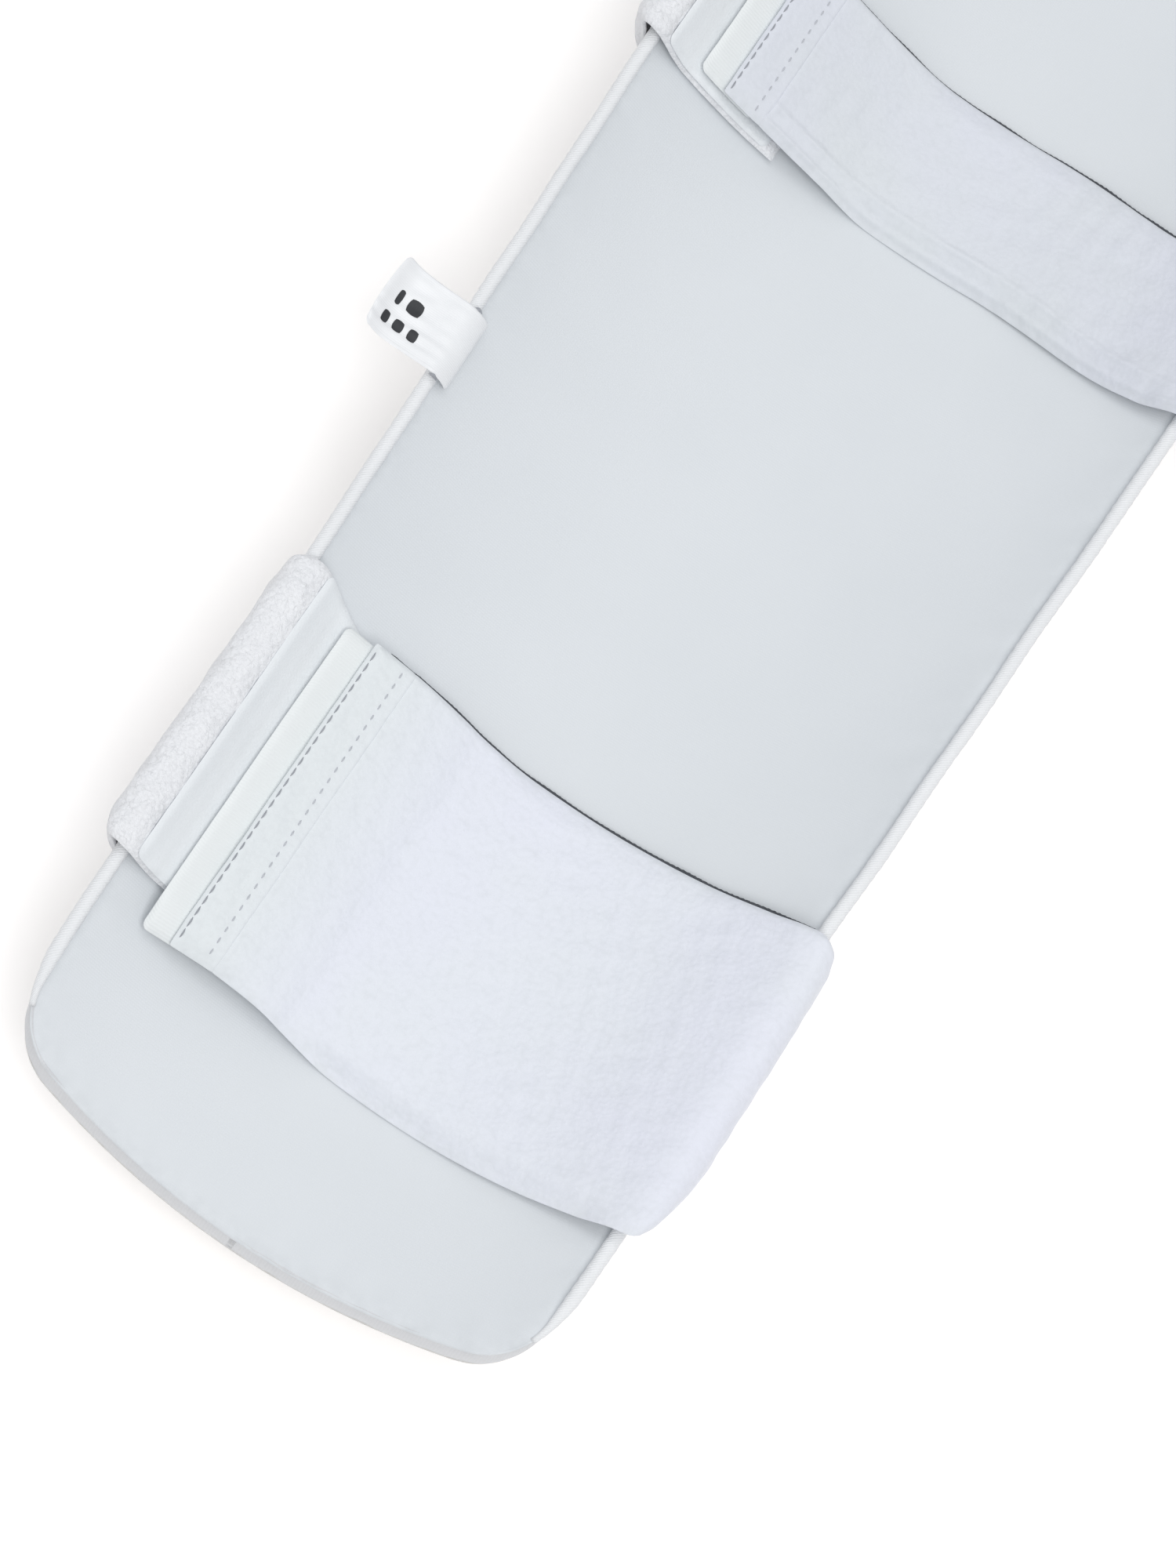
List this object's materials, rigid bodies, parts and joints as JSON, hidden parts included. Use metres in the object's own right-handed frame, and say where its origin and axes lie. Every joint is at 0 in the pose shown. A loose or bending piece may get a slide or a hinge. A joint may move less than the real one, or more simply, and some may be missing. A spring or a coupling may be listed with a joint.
{
  "type": "cricket leg pad",
  "caption": "Slim padded leg guard with a curved leg side, upright front bolsters, knee rolls, a wide and a narrow closing strap and a side label.",
  "frame": {"origin": "middle of the flat front of the centre bolster, at mid length, on which the pad lies", "axes": "+Y towards the knee edge, +Z out of the curved leg side, +X towards the edge where the straps are sewn"},
  "size_m": [0.1616, 0.4, 0.0575],
  "materials": {
    "lining": "smooth knitted lining, matt",
    "soft_foam": "open foam",
    "firm_foam": "closed-cell foam",
    "plate": "moulded, fine grain",
    "facing": "coated synthetic leather, soft sheen",
    "gusset": "smooth knitted side wall",
    "piping": "knitted cover over a cord",
    "cane": "split cane",
    "strap": "fine mesh knit over thin foam",
    "hook_tape": "hook tape",
    "loop_tape": "brushed loop tape",
    "towelling": "looped towelling",
    "label": "satin ribbon"
  },
  "bodies": {
    "pad": {"back_lining": "lining", "comfort_foam": "soft_foam", "core_foam": "firm_foam", "shin_plate": "plate", "front_facing": "facing", "edge_gusset": "gusset", "left_piping": "piping", "right_piping": "piping", "centre_bolster_cover": "facing", "inner_left_bolster_cover": "facing", "inner_right_bolster_cover": "facing", "outer_left_bolster_cover": "facing", "outer_right_bolster_cover": "facing", "centre_bolster_foam": "firm_foam", "inner_left_bolster_foam": "firm_foam", "inner_right_bolster_foam": "firm_foam", "outer_left_bolster_foam": "firm_foam", "outer_right_bolster_foam": "firm_foam", "centre_cane": "cane", "inner_left_cane": "cane", "inner_right_cane": "cane", "outer_left_cane": "cane", "outer_right_cane": "cane", "lower_knee_roll_cover": "facing", "middle_knee_roll_cover": "facing", "upper_knee_roll_cover": "facing", "lower_knee_roll_foam": "soft_foam", "middle_knee_roll_foam": "soft_foam", "upper_knee_roll_foam": "soft_foam", "top_panel_cover": "facing", "top_panel_foam": "soft_foam", "instep_roll_cover": "facing", "instep_roll_foam": "soft_foam", "ankle_strap_anchor": "strap", "ankle_landing_wrap": "towelling", "ankle_loop_tape": "loop_tape", "knee_strap_anchor": "strap", "knee_landing_wrap": "towelling", "knee_loop_tape": "loop_tape", "side_label_root": "label"},
    "ankle_strap": {"ankle_strap_band": "strap"},
    "ankle_tab": {"ankle_strap_tab": "strap", "ankle_hook_tape": "hook_tape"},
    "knee_strap": {"knee_strap_band": "strap"},
    "knee_tab": {"knee_strap_tab": "strap", "knee_hook_tape": "hook_tape"},
    "side_label": {"side_label": "label"}
  },
  "joints": [
    {"name": "ankle_strap_swing", "type": "hinge", "parent": "pad", "child": "ankle_strap", "pos_m": [0.06228, -0.1216, 0.05252], "axis": [0, 1, 0], "range_deg": [0, 160]},
    {"name": "ankle_tab_peel", "type": "hinge", "parent": "ankle_strap", "child": "ankle_tab", "pos_m": [-0.03485, -0.1216, 0.04043], "axis": [0, 1, 0], "range_deg": [0, 85]},
    {"name": "knee_strap_swing", "type": "hinge", "parent": "pad", "child": "knee_strap", "pos_m": [0.06813, 0.0752, 0.05688], "axis": [0, 1, 0], "range_deg": [0, 160]},
    {"name": "knee_tab_peel", "type": "hinge", "parent": "knee_strap", "child": "knee_tab", "pos_m": [-0.04076, 0.0752, 0.04279], "axis": [0, 1, 0], "range_deg": [0, 85]},
    {"name": "side_label_flex", "type": "hinge", "parent": "pad", "child": "side_label", "pos_m": [-0.06616, -0.023, 0.05195], "axis": [0, 1, 0], "range_deg": [-30, 20], "stiffness_Nm_per_rad": 0.004}
  ]
}
